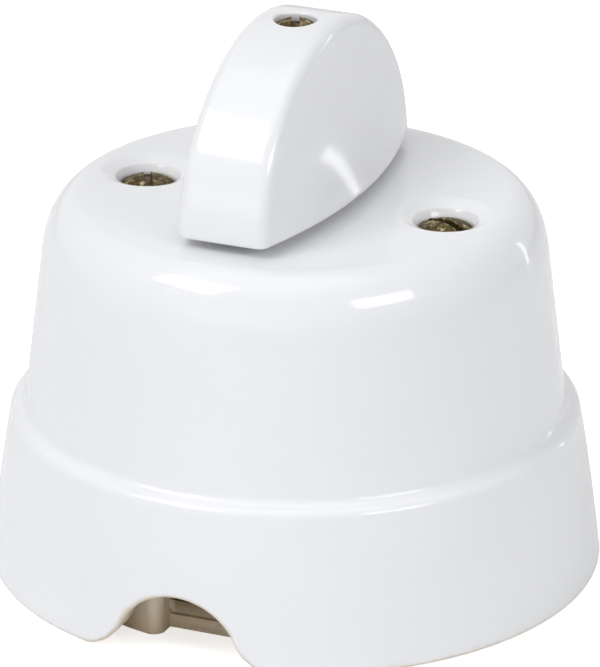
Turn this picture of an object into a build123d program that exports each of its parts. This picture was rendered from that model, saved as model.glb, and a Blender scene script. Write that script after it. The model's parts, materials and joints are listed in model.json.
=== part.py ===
from build123d import *
import os
from math import sqrt

# Surface-mounted rotary two-way switch in porcelain, in millimetres.
# The origin is the centre of the wall plane, +Z leads away from the wall along the knob's axis,
# the two cover screws lie on X, and the cable notch is at -Y.

# Clearances
RUN_FIT = 0.05
SEAT_FIT = 0.1
HOLE_FIT = 0.35
CONTACT_GAP = 0.15

# Cover: glazed porcelain, turned on its axis
RIM_R = 32.55
RIM_EDGE_R = 0.5
SKIRT_H = 17.4
SKIRT_LEAN = 2.48
SKIRT_BOW = 0.16
LIP_R = 1.1
LEDGE_W = 1.4
LEDGE_FILLET_R = 1.0
WALL_LEAN = 2.07
COVER_H = 40.65
SHOULDER_H = 5.95
SHOULDER_W = 4.4
SHOULDER_PULL = 0.55
COVER_T = 3.1
CEILING_FILLET_R = 2.6

# Cable notch in the cover's rim
NOTCH_R = 7.0
NOTCH_CENTRE_Z = 0.15
NOTCH_FLARE_R = 5.5
NOTCH_MOUTH_DROP = 0.05

# Cover screws and the dished recesses they sit in
COVER_SCREW_X = 16.9
COVER_SCREW_HEAD_R = 2.85
COVER_SCREW_HEAD_H = 0.7
COVER_SCREW_DOME_H = 0.8
COVER_SCREW_R = 1.5
RECESS_MOUTH_R = 5.2
RECESS_LIP_R = 3.45
RECESS_WELL_R = 3.0
RECESS_DISH_DEPTH = 0.65
RECESS_CONE_DEPTH = 0.75
RECESS_DEPTH = 2.2
COVER_BOSS_R = 4.8
COVER_BOSS_H = 2.1

# Knob: glazed porcelain, its long axis along Y at rest
KNOB_GAP = 1.05
KNOB_HALF_LENGTH = 19.65
KNOB_H = 18.15
KNOB_HALF_WIDTH = 4.7
KNOB_FLARE = 3.2
KNOB_FLARE_H = 14.5
KNOB_SECTIONS = 7
KNOB_EDGE_R = 1.4
KNOB_SCREW_HEAD_R = 2.0
KNOB_SCREW_HEAD_H = 1.0
KNOB_SCREW_DOME_H = 0.7
KNOB_SCREW_R = 1.25
KNOB_WELL_R = 2.2
KNOB_WELL_DEPTH = 2.1
KNOB_WASHER_T = 0.4
KNOB_WEB = 4.6

# Base: unglazed ceramic tray
BASE_GAP = 2.65
BASE_H = 9.0
BASE_WALL = 3.1
FLOOR_T = 3.1
ENTRY_W = 8.2
ENTRY_CORNER_R = 1.2
TRAY_EDGE_R = 0.5
DRIP_GROOVE_Z = 1.5
DRIP_GROOVE_H = 0.6
DRIP_GROOVE_DEPTH = 0.5
PAD_TOP = 5.0

# Wall-fixing holes
FIXING_PCD = 42.0
FIXING_ANGLE = -45.0
FIXING_HOLE_R = 2.2
FIXING_SINK_R = 3.9
FIXING_BOSS_R = 4.4
FIXING_BOSS_TOP = 5.6

# Pillars that carry the cover, and their screws
PILLAR_R = 3.4
PILLAR_BOSS_R = 5.0
PILLAR_BOSS_TOP = 7.0
PILLAR_SCREW_R = 1.5
PILLAR_SCREW_HEAD_R = 2.8
PILLAR_SCREW_HEAD_H = 1.7
PILLAR_SCREW_EDGE_R = 0.6
PILLAR_SCREW_REACH = 6.0
PAN_SINK_DEPTH = 2.1
COVER_SCREW_REACH = 7.0

# Mechanism block
BLOCK_W = 24.0
BLOCK_CORNER_R = 4.0
BLOCK_FLOOR_T = 3.5
BLOCK_TOP = 21.5
CHAMBER_R = 8.0
DECK_END_Y = 19.5
DECK_T = 4.5
BARRIER_T = 1.4
BARRIER_TOP = 15.0

# Terminals and their screws
TERMINAL_W = 6.9
TERMINAL_L = 6.4
TERMINAL_H = 7.5
TERMINAL_TUNNEL_R = 1.7
TERMINAL_TUNNEL_Z = 2.7
TERMINAL_SCREW_R = 1.4
TERMINAL_SCREW_HEAD_R = 2.4
TERMINAL_SCREW_HEAD_H = 1.8

# Contacts
LEAF_T = 0.5
LEAF_NOSE_R = 1.2
LEAF_FOOT_MARGIN = 0.3
LEAF_BEND_R = 0.8
RING_R = 7.2
RING_T = 1.2
RING_Z = 9.4
RING_H = 3.4
LOBE_H = 5.6
LOBE_ARC = 50.0
LOBE_ANGLE = 45.0
LEAF_MARGIN = 0.4

# Spindle
SPINDLE_R = 3.0
SPINDLE_SQUARE = 4.8
TAIL_R = 2.0
TAIL_Z = 5.4
COLLAR_R = 4.3
COLLAR_H = 1.0
THRUST_WASHER_R = 4.9
THRUST_WASHER_T = 0.5
CLIP_GROOVE_R = 2.3
CLIP_T = 0.6
CLIP_R = 4.5
CLIP_MOUTH = 3.4

# Bearing plate, cam and detent springs
PLATE_T = 1.5
CAM_W = 9.0
CAM_CORNER_R = 1.6
CAM_T = 4.0
DETENT_LEAF_T = 0.45
DETENT_LEAF_L = 20.0
DETENT_LEAF_H = 3.4
LUG_L = 1.5
LUG_W = 2.2
LUG_Y = 8.2
LUG_H = 4.6

# Through screws of the mechanism, and their nuts
THROUGH_SCREW_R = 1.5
THROUGH_SCREW_HEAD_R = 2.7
THROUGH_SCREW_HEAD_H = 1.8
NUT_ACROSS_FLATS = 5.5
NUT_T = 2.2
NUT_SINK_DEPTH = 2.5
REAR_SCREW_Y = 10.4
REAR_EAR_R = 3.3
FRONT_SCREW_XY = 8.8

# Screw heads and ends, and small turned edges
SLOT_W = 0.8
SLOT_DEPTH_SHARE = 0.6
COVER_SCREW_TURNS = [117.0, -20.0]
KNOB_SCREW_TURN = 113.0
SCREW_END_CHAMFER = 0.3
TURNED_CHAMFER = 0.4
HEAD_CHAMFER = 0.2

# Heights and places that follow from the values above
SKIRT_TOP_R = RIM_R - SKIRT_LEAN
WALL_FOOT_R = SKIRT_TOP_R - LEDGE_W
WALL_HEAD_R = WALL_FOOT_R - WALL_LEAN
WALL_HEAD_Z = COVER_H - SHOULDER_H
CROWN_FLAT_R = WALL_HEAD_R - SHOULDER_W
BASE_R = RIM_R - COVER_T - BASE_GAP
COVER_CEILING = COVER_H - COVER_T
BOSS_FOOT = COVER_CEILING - COVER_BOSS_H
PILLAR_TOP = BOSS_FOOT - SEAT_FIT
RECESS_SEAT = COVER_H - RECESS_DEPTH
KNOB_FOOT = COVER_H + KNOB_GAP
KNOB_TOP = KNOB_FOOT + KNOB_H
KNOB_SEAT = KNOB_TOP - KNOB_WELL_DEPTH
SPINDLE_TOP = KNOB_SEAT - KNOB_WEB
DECK_TOP = PAD_TOP + DECK_T
CHAMBER_FLOOR = PAD_TOP + BLOCK_FLOOR_T
PLATE_TOP = BLOCK_TOP + PLATE_T
CAM_FOOT = PLATE_TOP + 2 * SEAT_FIT
CLIP_Z = CAM_FOOT + CAM_T + SEAT_FIT
COLLAR_TOP = BLOCK_TOP - SEAT_FIT - THRUST_WASHER_T
COLLAR_FOOT = COLLAR_TOP - COLLAR_H
ROTOR_FOOT = CHAMBER_FLOOR + 2 * SEAT_FIT
ROTOR_TOP = COLLAR_FOOT - SEAT_FIT
BLOCK_HALF = BLOCK_W / 2
TERMINAL_Y = DECK_END_Y - TERMINAL_L / 2
TERMINAL_INNER_Y = DECK_END_Y - TERMINAL_L
LEAF_FOOT_Y = TERMINAL_INNER_Y - RUN_FIT - LEAF_T / 2
NOSE_REACH = RING_R + CONTACT_GAP + LEAF_NOSE_R + LEAF_T / 2
SIDE_NOSE = NOSE_REACH / sqrt(2)
SIDE_TERMINAL_X = SIDE_NOSE - LEAF_NOSE_R + 0.25
LOBE_Z = RING_Z + RING_H
POCKET_W = TERMINAL_W + 2 * SEAT_FIT

cover_screw_places = [(-COVER_SCREW_X, 0), (COVER_SCREW_X, 0)]
through_screw_places = [
    (0, REAR_SCREW_Y),
    (-FRONT_SCREW_XY, -FRONT_SCREW_XY),
    (FRONT_SCREW_XY, -FRONT_SCREW_XY),
]
terminal_places = {
    "common": (0, -TERMINAL_Y),
    "one": (SIDE_TERMINAL_X, TERMINAL_Y),
    "two": (-SIDE_TERMINAL_X, TERMINAL_Y),
}


def square_bar(flats, radius, foot, top):
    """A round bar of that radius with four flats milled on it, from foot to top."""
    with BuildPart() as bar:
        with BuildSketch(Plane.XY.offset(foot)):
            Circle(radius)
            Rectangle(flats, flats, mode=Mode.INTERSECT)
        extrude(amount=top - foot)
    return bar.part


def oval_screw(head_r, head_h, dome_h, shank_r, reach, turn):
    """A slotted screw with a domed head, its seat at z = 0 and its shank pointing down."""
    with BuildPart() as screw:
        with BuildSketch(Plane.XZ):
            with BuildLine():
                Polyline(
                    (0, head_h + dome_h),
                    (0, -reach),
                    (shank_r - SCREW_END_CHAMFER, -reach),
                    (shank_r, -reach + SCREW_END_CHAMFER),
                    (shank_r, 0),
                    (head_r, 0),
                    (head_r, head_h),
                )
                TangentArc((0, head_h + dome_h), (head_r, head_h), tangent=(1, 0))
            make_face()
        revolve(axis=Axis.Z)
        slot_depth = SLOT_DEPTH_SHARE * (head_h + dome_h)
        with BuildSketch(Plane.XY.offset(head_h + dome_h)):
            Rectangle(3 * head_r, SLOT_W, rotation=turn)
        extrude(amount=-slot_depth, mode=Mode.SUBTRACT)
    return screw.part


def cheese_screw(head_r, head_h, shank_r, reach, turn):
    """A slotted screw with a straight-sided head, its seat at z = 0 and its shank pointing down."""
    with BuildPart() as screw:
        Cylinder(head_r, head_h, align=(Align.CENTER, Align.CENTER, Align.MIN))
        chamfer(screw.edges().sort_by(Axis.Z)[-1], HEAD_CHAMFER)
        Cylinder(shank_r, reach, align=(Align.CENTER, Align.CENTER, Align.MAX))
        with BuildSketch(Plane.XY.offset(head_h)):
            Rectangle(3 * head_r, SLOT_W, rotation=turn)
        extrude(amount=-SLOT_DEPTH_SHARE * head_h, mode=Mode.SUBTRACT)
    return screw.part


os.makedirs("parts", exist_ok=True)

# Cover: one turned porcelain shell, from the bowed skirt over the ledge and the leaning wall to the flat crown
with BuildPart() as cover:
    pull_h = SHOULDER_PULL * SHOULDER_H
    pull_w = WALL_LEAN / (WALL_HEAD_Z - SKIRT_H) * pull_h
    with BuildSketch(Plane.XZ):
        with BuildLine():
            SagittaArc((RIM_R, 0), (SKIRT_TOP_R, SKIRT_H), -SKIRT_BOW)
            Line((SKIRT_TOP_R, SKIRT_H), (WALL_FOOT_R, SKIRT_H))
            Line((WALL_FOOT_R, SKIRT_H), (WALL_HEAD_R, WALL_HEAD_Z))
            Bezier(
                (WALL_HEAD_R, WALL_HEAD_Z),
                (WALL_HEAD_R - pull_w, WALL_HEAD_Z + pull_h),
                (CROWN_FLAT_R + SHOULDER_PULL * SHOULDER_W, COVER_H),
                (CROWN_FLAT_R, COVER_H),
            )
            Polyline(
                (CROWN_FLAT_R, COVER_H),
                (0, COVER_H),
                (0, COVER_CEILING),
                (WALL_HEAD_R - COVER_T, COVER_CEILING),
                (WALL_FOOT_R - COVER_T, SKIRT_H + LIP_R),
                (SKIRT_TOP_R - COVER_T, SKIRT_H - COVER_T),
                (RIM_R - COVER_T, 0),
                (RIM_R, 0),
            )
        make_face()
    revolve(axis=Axis.Z)
    fillet(cover.edges().group_by(Axis.Z)[0], RIM_EDGE_R)
    ring_edges = cover.edges().filter_by(GeomType.CIRCLE)
    lip = ring_edges.filter_by(lambda e: abs(e.radius - SKIRT_TOP_R) < 0.01)
    fillet(lip, LIP_R)
    ring_edges = cover.edges().filter_by(GeomType.CIRCLE)
    ledge_root = ring_edges.filter_by(
        lambda e: abs(e.radius - WALL_FOOT_R) < 0.01 and abs(e.center().Z - SKIRT_H) < 0.01
    )
    fillet(ledge_root, LEDGE_FILLET_R)
    ring_edges = cover.edges().filter_by(GeomType.CIRCLE)
    ceiling_edge = ring_edges.filter_by(lambda e: abs(e.radius - (WALL_HEAD_R - COVER_T)) < 0.01)
    fillet(ceiling_edge, CEILING_FILLET_R)
    with BuildSketch(Plane.XY.offset(BOSS_FOOT)):
        with Locations(cover_screw_places):
            Circle(COVER_BOSS_R)
    extrude(amount=COVER_BOSS_H + COVER_T / 2)
    with BuildSketch(Plane.XY.offset(COVER_CEILING)):
        Circle(SPINDLE_R + 4 * HOLE_FIT)
    extrude(amount=COVER_T, mode=Mode.SUBTRACT)
    with BuildSketch(Plane.XY.offset(BOSS_FOOT)):
        with Locations(cover_screw_places):
            Circle(COVER_SCREW_R + HOLE_FIT)
    extrude(amount=COVER_H - BOSS_FOOT, mode=Mode.SUBTRACT)
    with BuildSketch(Plane.XY.offset(RECESS_SEAT)):
        with Locations(cover_screw_places):
            Circle(RECESS_WELL_R)
    extrude(amount=RECESS_DEPTH, mode=Mode.SUBTRACT)
    dish_w = RECESS_MOUTH_R - RECESS_LIP_R
    cone_foot = -RECESS_DISH_DEPTH - RECESS_CONE_DEPTH
    for x, y in cover_screw_places:
        dish_plane = Plane(origin=(x, y, COVER_H), x_dir=(1, 0, 0), z_dir=(0, -1, 0))
        with BuildSketch(dish_plane):
            with BuildLine():
                Bezier(
                    (RECESS_MOUTH_R, 0),
                    (RECESS_MOUTH_R - 0.25 * dish_w, 0),
                    (RECESS_LIP_R + 0.3 * dish_w, -0.66 * RECESS_DISH_DEPTH),
                    (RECESS_LIP_R, -RECESS_DISH_DEPTH),
                )
                Polyline(
                    (RECESS_LIP_R, -RECESS_DISH_DEPTH),
                    (RECESS_WELL_R, cone_foot),
                    (0, cone_foot),
                    (0, 0),
                    (RECESS_MOUTH_R, 0),
                )
            make_face()
        revolve(axis=Axis((x, y, 0), (0, 0, 1)), mode=Mode.SUBTRACT)
    with BuildSketch(Plane.XZ.offset(BASE_R)) as notch:
        with Locations((0, NOTCH_CENTRE_Z)):
            Circle(NOTCH_R)
        with Locations((0, -NOTCH_MOUTH_DROP)):
            Rectangle(4 * NOTCH_R, NOTCH_R, align=(Align.CENTER, Align.MAX))
        corners = notch.vertices().filter_by(
            lambda v: abs(v.Y + NOTCH_MOUTH_DROP) < 0.01 and abs(v.X) < 1.1 * NOTCH_R
        )
        fillet(corners, NOTCH_FLARE_R)
    extrude(amount=RIM_R - BASE_R + 1, mode=Mode.SUBTRACT)
cover.part.label = "cover"
export_step(cover.part, "parts/cover.step")

# Knob: an arched bar whose flanks flare out into a hub at the foot
with BuildPart() as knob:
    flare_top = KNOB_FOOT + KNOB_FLARE_H
    for i in range(KNOB_SECTIONS):
        share = i / (KNOB_SECTIONS - 1)
        flare = 0.02 + (KNOB_FLARE - 0.02) * (1 - share) ** 2
        with BuildSketch(Plane.XY.offset(KNOB_FOOT + share * KNOB_FLARE_H)):
            with BuildLine():
                ThreePointArc(
                    (KNOB_HALF_WIDTH, -KNOB_HALF_LENGTH),
                    (KNOB_HALF_WIDTH + flare, 0),
                    (KNOB_HALF_WIDTH, KNOB_HALF_LENGTH),
                )
                Line((KNOB_HALF_WIDTH, KNOB_HALF_LENGTH), (-KNOB_HALF_WIDTH, KNOB_HALF_LENGTH))
                ThreePointArc(
                    (-KNOB_HALF_WIDTH, KNOB_HALF_LENGTH),
                    (-KNOB_HALF_WIDTH - flare, 0),
                    (-KNOB_HALF_WIDTH, -KNOB_HALF_LENGTH),
                )
                Line((-KNOB_HALF_WIDTH, -KNOB_HALF_LENGTH), (KNOB_HALF_WIDTH, -KNOB_HALF_LENGTH))
            make_face()
    loft()
    top_face = knob.faces().sort_by(Axis.Z)[-1]
    extrude(top_face, amount=KNOB_TOP - flare_top + 1)
    with BuildSketch(Plane.YZ) as arch:
        with Locations((0, KNOB_FOOT)):
            Ellipse(KNOB_HALF_LENGTH, KNOB_H)
        with Locations((0, KNOB_FOOT)):
            Rectangle(3 * KNOB_HALF_LENGTH, 2 * KNOB_H, align=(Align.CENTER, Align.MAX), mode=Mode.SUBTRACT)
    extrude(amount=3 * KNOB_HALF_WIDTH, both=True, mode=Mode.INTERSECT)
    upper_edges = knob.edges().filter_by(lambda e: e.center().Z > KNOB_FOOT + 1)
    side_edges = upper_edges.filter_by(lambda e: abs(e.center().X) > 1)
    arch_edges = side_edges.filter_by(lambda e: abs(e.center().Z - flare_top) > 0.01)
    fillet(arch_edges, KNOB_EDGE_R)
    with BuildSketch(Plane.XY.offset(KNOB_SEAT)):
        Circle(KNOB_WELL_R)
    extrude(amount=KNOB_WELL_DEPTH + 1, mode=Mode.SUBTRACT)
    with BuildSketch(Plane.XY.offset(SPINDLE_TOP)):
        Circle(KNOB_SCREW_R + HOLE_FIT / 2)
    extrude(amount=KNOB_SEAT - SPINDLE_TOP, mode=Mode.SUBTRACT)
    add(
        square_bar(
            SPINDLE_SQUARE + 2 * SEAT_FIT, SPINDLE_R + SEAT_FIT, KNOB_FOOT - 1, SPINDLE_TOP + SEAT_FIT
        ),
        mode=Mode.SUBTRACT,
    )
knob.part.label = "knob"
export_step(knob.part, "parts/knob.step")

# Washer and screw that hold the knob on the spindle
with BuildPart() as knob_washer:
    with BuildSketch(Plane.XY.offset(KNOB_SEAT)):
        Circle(KNOB_WELL_R - SEAT_FIT)
        Circle(KNOB_SCREW_R + SEAT_FIT, mode=Mode.SUBTRACT)
    extrude(amount=KNOB_WASHER_T)
knob_washer.part.label = "knob_washer"
export_step(knob_washer.part, "parts/knob_washer.step")

knob_screw_reach = KNOB_SEAT + KNOB_WASHER_T - SPINDLE_TOP + 5 * KNOB_SCREW_R
knob_screw_shape = oval_screw(
    KNOB_SCREW_HEAD_R,
    KNOB_SCREW_HEAD_H,
    KNOB_SCREW_DOME_H,
    KNOB_SCREW_R,
    knob_screw_reach,
    KNOB_SCREW_TURN,
)
with BuildPart() as knob_screw:
    with Locations((0, 0, KNOB_SEAT + KNOB_WASHER_T)):
        add(knob_screw_shape)
knob_screw.part.label = "knob_screw"
export_step(knob_screw.part, "parts/knob_screw.step")

# Cover screws: oval heads in the dished recesses, shanks down into the pillars
cover_screw_reach = RECESS_SEAT - PILLAR_TOP + COVER_SCREW_REACH
with BuildPart() as cover_screws:
    for (x, y), turn in zip(cover_screw_places, COVER_SCREW_TURNS):
        shape = oval_screw(
            COVER_SCREW_HEAD_R,
            COVER_SCREW_HEAD_H,
            COVER_SCREW_DOME_H,
            COVER_SCREW_R,
            cover_screw_reach,
            turn,
        )
        with Locations((x, y, RECESS_SEAT)):
            add(shape)
cover_screws.part.label = "cover_screws"
export_step(cover_screws.part, "parts/cover_screws.step")

# Pillars: turned brass, threaded at both ends
with BuildPart() as cover_pillars:
    with BuildSketch(Plane.XY.offset(PILLAR_BOSS_TOP)):
        with Locations(cover_screw_places):
            Circle(PILLAR_R)
    extrude(amount=PILLAR_TOP - PILLAR_BOSS_TOP)
    chamfer(cover_pillars.edges().group_by(Axis.Z)[-1], TURNED_CHAMFER)
    with BuildSketch(Plane.XY.offset(PILLAR_TOP)):
        with Locations(cover_screw_places):
            Circle(COVER_SCREW_R + RUN_FIT)
    extrude(amount=-(COVER_SCREW_REACH + 1), mode=Mode.SUBTRACT)
    with BuildSketch(Plane.XY.offset(PILLAR_BOSS_TOP)):
        with Locations(cover_screw_places):
            Circle(PILLAR_SCREW_R + RUN_FIT)
    extrude(amount=PILLAR_SCREW_REACH + 1, mode=Mode.SUBTRACT)
cover_pillars.part.label = "cover_pillars"
export_step(cover_pillars.part, "parts/cover_pillars.step")

# Pillar screws: pan heads sunk in the underside of the base, pointing up
pillar_screw_length = PILLAR_BOSS_TOP - PAN_SINK_DEPTH + PILLAR_SCREW_REACH
with BuildPart() as pillar_screws:
    with BuildSketch(Plane.XY.offset(PAN_SINK_DEPTH)):
        with Locations(cover_screw_places):
            Circle(PILLAR_SCREW_HEAD_R)
    extrude(amount=-PILLAR_SCREW_HEAD_H)
    fillet(pillar_screws.edges().group_by(Axis.Z)[0], PILLAR_SCREW_EDGE_R)
    with BuildSketch(Plane.XY.offset(PAN_SINK_DEPTH)):
        with Locations(cover_screw_places):
            Circle(PILLAR_SCREW_R)
    extrude(amount=pillar_screw_length)
    with BuildSketch(Plane.XY.offset(PAN_SINK_DEPTH - PILLAR_SCREW_HEAD_H)):
        with Locations(cover_screw_places):
            Rectangle(3 * PILLAR_SCREW_HEAD_R, SLOT_W)
    extrude(amount=SLOT_DEPTH_SHARE * PILLAR_SCREW_HEAD_H, mode=Mode.SUBTRACT)
pillar_screws.part.label = "pillar_screws"
export_step(pillar_screws.part, "parts/pillar_screws.step")

# Base: a ceramic tray with a wire entry cut through its wall, and raised seats
with BuildPart() as base:
    with BuildSketch(Plane.XY) as outline:
        Circle(BASE_R)
        with Locations((0, -BASE_R)):
            Rectangle(ENTRY_W, 2 * BASE_WALL, mode=Mode.SUBTRACT)
        mouth = outline.vertices().sort_by(Axis.Y)[:2]
        fillet(mouth, ENTRY_CORNER_R)
    extrude(amount=BASE_H)
    with BuildSketch(Plane.XY.offset(FLOOR_T)):
        Circle(BASE_R - BASE_WALL)
        with Locations((0, -BASE_R + BASE_WALL)):
            Rectangle(ENTRY_W, BASE_WALL)
    extrude(amount=BASE_H - FLOOR_T, mode=Mode.SUBTRACT)
    fillet(base.edges().group_by(Axis.Z)[-1], TRAY_EDGE_R)
    with BuildSketch(Plane.XY.offset(FLOOR_T)):
        RectangleRounded(BLOCK_W + 1, BLOCK_W + 1, BLOCK_CORNER_R)
    extrude(amount=PAD_TOP - FLOOR_T)
    with BuildSketch(Plane.XY.offset(FLOOR_T)):
        with Locations(cover_screw_places):
            Circle(PILLAR_BOSS_R)
        Rectangle(BLOCK_W + 0.4, BLOCK_W, mode=Mode.SUBTRACT)
    extrude(amount=PILLAR_BOSS_TOP - FLOOR_T)
    with BuildSketch(Plane.XY.offset(FLOOR_T)):
        with PolarLocations(FIXING_PCD / 2, 2, start_angle=FIXING_ANGLE):
            Circle(FIXING_BOSS_R)
    extrude(amount=FIXING_BOSS_TOP - FLOOR_T)
    with BuildSketch(Plane.XY.offset(DRIP_GROOVE_Z)):
        with Locations((0, -BASE_R + BASE_WALL + DRIP_GROOVE_DEPTH / 2)):
            Rectangle(ENTRY_W, DRIP_GROOVE_DEPTH)
    extrude(amount=DRIP_GROOVE_H, mode=Mode.SUBTRACT)
    with Locations(Plane.XY.offset(FIXING_BOSS_TOP)):
        with PolarLocations(FIXING_PCD / 2, 2, start_angle=FIXING_ANGLE):
            CounterSinkHole(FIXING_HOLE_R, FIXING_SINK_R)
    with BuildSketch(Plane.XY):
        with Locations(cover_screw_places):
            Circle(PILLAR_SCREW_HEAD_R + HOLE_FIT)
    extrude(amount=PAN_SINK_DEPTH, mode=Mode.SUBTRACT)
    with BuildSketch(Plane.XY):
        with Locations(cover_screw_places):
            Circle(PILLAR_SCREW_R + SEAT_FIT)
        with Locations(through_screw_places):
            Circle(THROUGH_SCREW_R + SEAT_FIT)
    extrude(amount=PILLAR_BOSS_TOP, mode=Mode.SUBTRACT)
    with BuildSketch(Plane.XY):
        with Locations(through_screw_places):
            RegularPolygon(NUT_ACROSS_FLATS / 2 + SEAT_FIT, 6, major_radius=False)
    extrude(amount=NUT_SINK_DEPTH, mode=Mode.SUBTRACT)
base.part.label = "base"
export_step(base.part, "parts/base.step")

# Mechanism block: chamber, lower bearing, and decks with barriers between the terminals
front_deck_w = POCKET_W + 2 * BARRIER_T
deck_l = DECK_END_Y - BLOCK_HALF
deck_y = BLOCK_HALF + deck_l / 2
rear_deck_w = 2 * (SIDE_TERMINAL_X + POCKET_W / 2 + BARRIER_T)
side_leaf_x = SIDE_NOSE + LEAF_NOSE_R
leaf_slot_outer = side_leaf_x + LEAF_T / 2 + 0.6
leaf_slot_inner = SIDE_NOSE - LEAF_NOSE_R - LEAF_T / 2 - 0.3
front_slot_w = 2 * (LEAF_NOSE_R + LEAF_T / 2 + 0.6)
rib_w = 2 * SIDE_TERMINAL_X - POCKET_W
ear_foot = LOBE_Z + LOBE_H
with BuildPart() as mechanism_body:
    with BuildSketch(Plane.XY.offset(PAD_TOP)):
        RectangleRounded(BLOCK_W, BLOCK_W, BLOCK_CORNER_R)
    extrude(amount=BLOCK_TOP - PAD_TOP)
    with BuildSketch(Plane.XY.offset(ear_foot)):
        with Locations((0, REAR_SCREW_Y)):
            Circle(REAR_EAR_R)
    extrude(amount=BLOCK_TOP - ear_foot)
    with BuildSketch(Plane.XY.offset(PAD_TOP)):
        with Locations((0, deck_y)):
            Rectangle(rear_deck_w, deck_l)
        with Locations((0, -deck_y)):
            Rectangle(front_deck_w, deck_l)
    extrude(amount=BARRIER_TOP - PAD_TOP)
    with BuildSketch(Plane.XY.offset(DECK_TOP)):
        with Locations((-SIDE_TERMINAL_X, deck_y), (SIDE_TERMINAL_X, deck_y), (0, -deck_y)):
            Rectangle(POCKET_W, deck_l)
    extrude(amount=BARRIER_TOP - DECK_TOP, mode=Mode.SUBTRACT)
    with BuildSketch(Plane.XY.offset(BARRIER_TOP)):
        with Locations((0, REAR_SCREW_Y)):
            Rectangle(rib_w, 2 * REAR_EAR_R)
    extrude(amount=ear_foot - BARRIER_TOP)
    with BuildSketch(Plane.XY.offset(CHAMBER_FLOOR)):
        Circle(CHAMBER_R)
    extrude(amount=BLOCK_TOP - CHAMBER_FLOOR, mode=Mode.SUBTRACT)
    with BuildSketch(Plane.XY.offset(PAD_TOP)):
        Circle(TAIL_R + RUN_FIT)
    extrude(amount=BLOCK_FLOOR_T, mode=Mode.SUBTRACT)
    with BuildSketch(Plane.XY.offset(PAD_TOP)):
        with Locations(through_screw_places):
            Circle(THROUGH_SCREW_R + SEAT_FIT)
    extrude(amount=BLOCK_TOP - PAD_TOP, mode=Mode.SUBTRACT)
    with BuildSketch(Plane.XY.offset(LOBE_Z)):
        with Locations(
            ((leaf_slot_inner + leaf_slot_outer) / 2, BLOCK_HALF / 2 + 2),
            (-(leaf_slot_inner + leaf_slot_outer) / 2, BLOCK_HALF / 2 + 2),
        ):
            Rectangle(leaf_slot_outer - leaf_slot_inner, BLOCK_HALF - 4)
    extrude(amount=LOBE_H, mode=Mode.SUBTRACT)
    with BuildSketch(Plane.XY.offset(RING_Z)):
        with Locations((0, -BLOCK_HALF / 2 - 2)):
            Rectangle(front_slot_w, BLOCK_HALF - 4)
    extrude(amount=RING_H, mode=Mode.SUBTRACT)
mechanism_body.part.label = "mechanism_body"
export_step(mechanism_body.part, "parts/mechanism_body.step")

# Bearing plate with four slotted lugs that trap the ends of the detent leaves
leaf_x = CAM_W / 2 + RUN_FIT + DETENT_LEAF_T / 2
lug_places = [(sx * leaf_x, sy * (LUG_Y + LUG_L / 2)) for sx in (-1, 1) for sy in (-1, 1)]
with BuildPart() as bearing_plate:
    with BuildSketch(Plane.XY.offset(BLOCK_TOP)):
        RectangleRounded(BLOCK_W, BLOCK_W, BLOCK_CORNER_R)
        with Locations((0, REAR_SCREW_Y)):
            Circle(REAR_EAR_R)
        Circle(SPINDLE_R + RUN_FIT, mode=Mode.SUBTRACT)
        with Locations(through_screw_places):
            Circle(THROUGH_SCREW_R + SEAT_FIT, mode=Mode.SUBTRACT)
    extrude(amount=PLATE_T)
    with BuildSketch(Plane.XY.offset(PLATE_TOP)):
        with Locations(lug_places):
            Rectangle(LUG_W, LUG_L)
            Rectangle(DETENT_LEAF_T + 2 * SEAT_FIT, LUG_L, mode=Mode.SUBTRACT)
    extrude(amount=LUG_H)
bearing_plate.part.label = "bearing_plate"
export_step(bearing_plate.part, "parts/bearing_plate.step")

# Detent springs: two flat leaves that lie along the cam's flats
with BuildPart() as detent_springs:
    with BuildSketch(Plane.XY.offset(CAM_FOOT)):
        with Locations((-leaf_x, 0), (leaf_x, 0)):
            Rectangle(DETENT_LEAF_T, DETENT_LEAF_L)
    extrude(amount=DETENT_LEAF_H)
detent_springs.part.label = "detent_springs"
export_step(detent_springs.part, "parts/detent_springs.step")

# Cam: square, with rounded corners and a square-milled bore
with BuildPart() as detent_cam:
    with BuildSketch(Plane.XY.offset(CAM_FOOT)):
        RectangleRounded(CAM_W, CAM_W, CAM_CORNER_R)
    extrude(amount=CAM_T)
    add(
        square_bar(SPINDLE_SQUARE + 2 * RUN_FIT, SPINDLE_R + RUN_FIT, CAM_FOOT, CAM_FOOT + CAM_T),
        mode=Mode.SUBTRACT,
    )
detent_cam.part.label = "detent_cam"
export_step(detent_cam.part, "parts/detent_cam.step")

# Spindle: turned and square-milled brass, with tail journal, collar, neck journal and clip groove
with BuildPart() as spindle:
    with BuildSketch(Plane.XY.offset(TAIL_Z)):
        Circle(TAIL_R)
    extrude(amount=CHAMBER_FLOOR + SEAT_FIT - TAIL_Z)
    chamfer(spindle.edges().group_by(Axis.Z)[0], SCREW_END_CHAMFER)
    add(square_bar(SPINDLE_SQUARE, SPINDLE_R, CHAMBER_FLOOR + SEAT_FIT, COLLAR_FOOT))
    with BuildSketch(Plane.XY.offset(COLLAR_FOOT)):
        Circle(COLLAR_R)
    extrude(amount=COLLAR_H)
    with BuildSketch(Plane.XY.offset(COLLAR_TOP)):
        Circle(SPINDLE_R)
    extrude(amount=PLATE_TOP + SEAT_FIT - COLLAR_TOP)
    add(square_bar(SPINDLE_SQUARE, SPINDLE_R, PLATE_TOP + SEAT_FIT, SPINDLE_TOP))
    with BuildSketch(Plane.XY.offset(CLIP_Z - RUN_FIT)):
        Circle(SPINDLE_R + 1)
        Circle(CLIP_GROOVE_R, mode=Mode.SUBTRACT)
    extrude(amount=CLIP_T + 2 * RUN_FIT, mode=Mode.SUBTRACT)
    with BuildSketch(Plane.XY.offset(SPINDLE_TOP)):
        Circle(KNOB_SCREW_R + RUN_FIT)
    extrude(amount=-6 * KNOB_SCREW_R, mode=Mode.SUBTRACT)
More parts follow.
